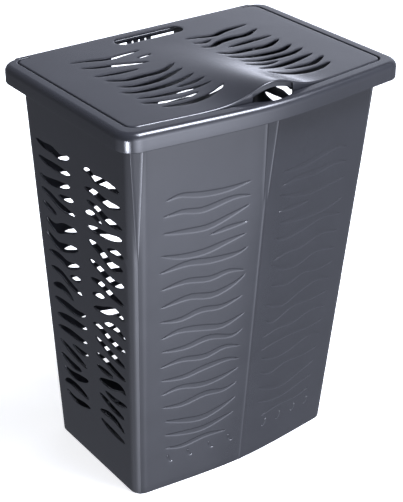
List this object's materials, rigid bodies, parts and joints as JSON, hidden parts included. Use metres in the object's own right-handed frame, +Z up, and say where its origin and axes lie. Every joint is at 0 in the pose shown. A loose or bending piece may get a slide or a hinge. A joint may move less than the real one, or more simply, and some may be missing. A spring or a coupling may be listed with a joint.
{
  "type": "laundry hamper",
  "caption": "Tall tapered laundry hamper of slotted moulded plastic, with a flat ledged rim and a flush rear-hinged lid whose crest forms a finger opening at the front.",
  "frame": {"origin": "centre of the footprint box, on the floor", "axes": "+Z up, -Y to the front where the lid is lifted, +X to the right seen from the front"},
  "size_m": [0.431, 0.322, 0.6],
  "materials": {
    "tub_plastic": "satin gloss dark anthracite, lightly textured walls",
    "lid_plastic": "satin gloss dark anthracite",
    "pin_steel": "plain wire pin"
  },
  "bodies": {
    "tub": {"tub": "tub_plastic"},
    "lid": {"lid": "lid_plastic", "hinge_pin_left": "pin_steel", "hinge_pin_right": "pin_steel"}
  },
  "joints": [
    {"name": "lid_hinge", "type": "hinge", "parent": "tub", "child": "lid", "pos_m": [0, 0.157, 0.577], "axis": [-1, 0, 0], "range_deg": [0, 105]}
  ]
}
